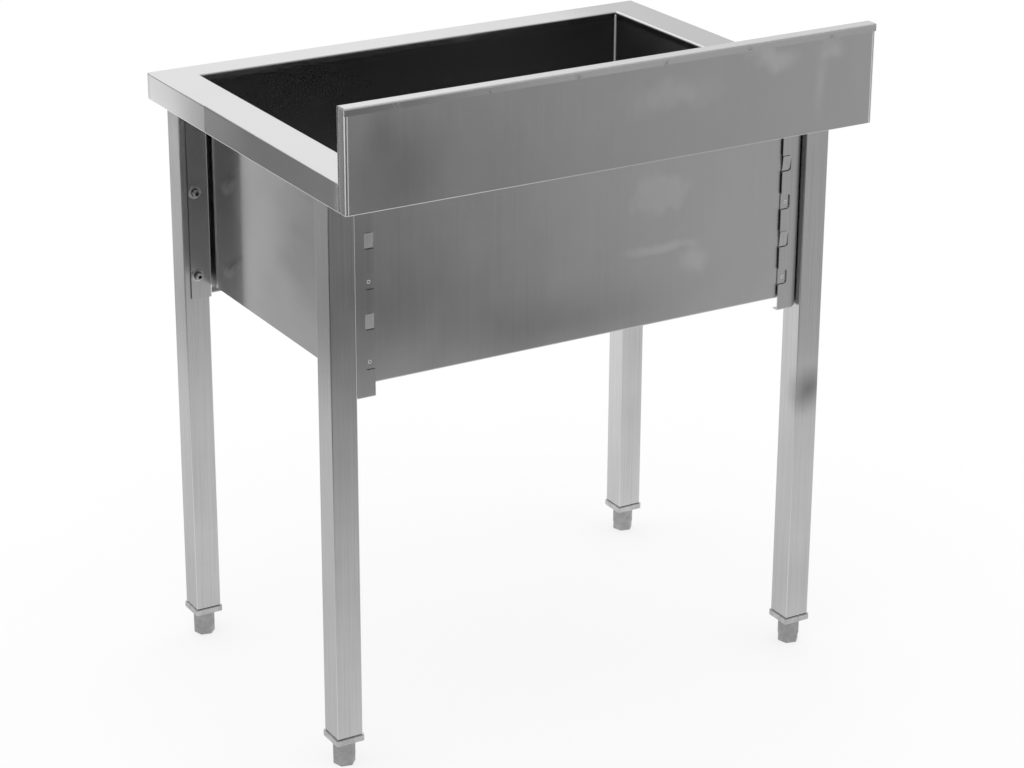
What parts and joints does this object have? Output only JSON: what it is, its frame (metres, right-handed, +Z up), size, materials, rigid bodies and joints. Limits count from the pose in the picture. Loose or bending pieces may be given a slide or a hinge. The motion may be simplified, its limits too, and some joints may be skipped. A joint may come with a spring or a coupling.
{
  "type": "freestanding utility sink",
  "caption": "Freestanding stainless steel utility sink: deep straight-sided bowl in a flat rim with aprons, boxed upstand along the wall side, square tube legs, adjustable feet.",
  "frame": {"origin": "on the floor under the middle of the rim's outline", "axes": "+X along the sink to the right of a person who stands at the front, +Y towards the wall and the upstand, +Z up"},
  "size_m": [0.8, 0.6, 0.95],
  "materials": {
    "sheet": "brushed along the sink",
    "bowl": "brushed, slightly mottled outside",
    "leg_tube": "brushed along the leg",
    "bracket": "brushed",
    "leg_plug": "satin, cast",
    "foot": "satin, cast",
    "stem": "machined",
    "fasteners": "machined",
    "waste": "polished",
    "gasket": "matt",
    "lock_nut": "machined"
  },
  "bodies": {
    "frame": {"worktop": "sheet", "rear_panel": "sheet", "bowl_wrap": "bowl", "bowl_end_left": "bowl", "bowl_end_right": "bowl", "leg_front_left": "leg_tube", "leg_front_right": "leg_tube", "leg_rear_left": "leg_tube", "leg_rear_right": "leg_tube", "bracket_front_left": "bracket", "bracket_front_right": "bracket", "bracket_rear_left": "bracket", "bracket_rear_right": "bracket", "leg_plug_front_left": "leg_plug", "leg_plug_front_right": "leg_plug", "leg_plug_rear_left": "leg_plug", "leg_plug_rear_right": "leg_plug", "leg_screws": "fasteners", "leg_washers": "fasteners", "spring_washers": "fasteners", "rivet_nuts": "fasteners", "waste_body": "waste", "waste_gasket": "gasket", "waste_lock_nut": "lock_nut"},
    "stem_front_left": {"foot_stem_front_left": "stem"},
    "foot_front_left": {"foot_front_left": "foot"},
    "stem_front_right": {"foot_stem_front_right": "stem"},
    "foot_front_right": {"foot_front_right": "foot"},
    "stem_rear_left": {"foot_stem_rear_left": "stem"},
    "foot_rear_left": {"foot_rear_left": "foot"},
    "stem_rear_right": {"foot_stem_rear_right": "stem"},
    "foot_rear_right": {"foot_rear_right": "foot"},
    "strainer": {"strainer": "waste"}
  },
  "joints": [
    {"name": "foot_travel_front_left", "type": "slide", "parent": "frame", "child": "stem_front_left", "axis": [0, 0, -1], "range_m": [0, 0.021]},
    {"name": "foot_turn_front_left", "type": "hinge", "parent": "stem_front_left", "child": "foot_front_left", "pos_m": [-0.368, -0.2455, 0], "axis": [0, 0, -1], "range_deg": [0, 4320]},
    {"name": "foot_travel_front_right", "type": "slide", "parent": "frame", "child": "stem_front_right", "axis": [0, 0, -1], "range_m": [0, 0.021]},
    {"name": "foot_turn_front_right", "type": "hinge", "parent": "stem_front_right", "child": "foot_front_right", "pos_m": [0.368, -0.2455, 0], "axis": [0, 0, -1], "range_deg": [0, 4320]},
    {"name": "foot_travel_rear_left", "type": "slide", "parent": "frame", "child": "stem_rear_left", "axis": [0, 0, -1], "range_m": [0, 0.021]},
    {"name": "foot_turn_rear_left", "type": "hinge", "parent": "stem_rear_left", "child": "foot_rear_left", "pos_m": [-0.368, 0.2055, 0], "axis": [0, 0, -1], "range_deg": [0, 4320]},
    {"name": "foot_travel_rear_right", "type": "slide", "parent": "frame", "child": "stem_rear_right", "axis": [0, 0, -1], "range_m": [0, 0.021]},
    {"name": "foot_turn_rear_right", "type": "hinge", "parent": "stem_rear_right", "child": "foot_rear_right", "pos_m": [0.368, 0.2055, 0], "axis": [0, 0, -1], "range_deg": [0, 4320]},
    {"name": "strainer_lift", "type": "slide", "parent": "frame", "child": "strainer", "axis": [0, 0, 1], "range_m": [0, 0.05]}
  ],
  "couplings": [
    {"joint": "foot_travel_front_left", "follows": "foot_turn_front_left", "m_per_rad": 0.00027852},
    {"joint": "foot_travel_front_right", "follows": "foot_turn_front_right", "m_per_rad": 0.00027852},
    {"joint": "foot_travel_rear_left", "follows": "foot_turn_rear_left", "m_per_rad": 0.00027852},
    {"joint": "foot_travel_rear_right", "follows": "foot_turn_rear_right", "m_per_rad": 0.00027852}
  ]
}
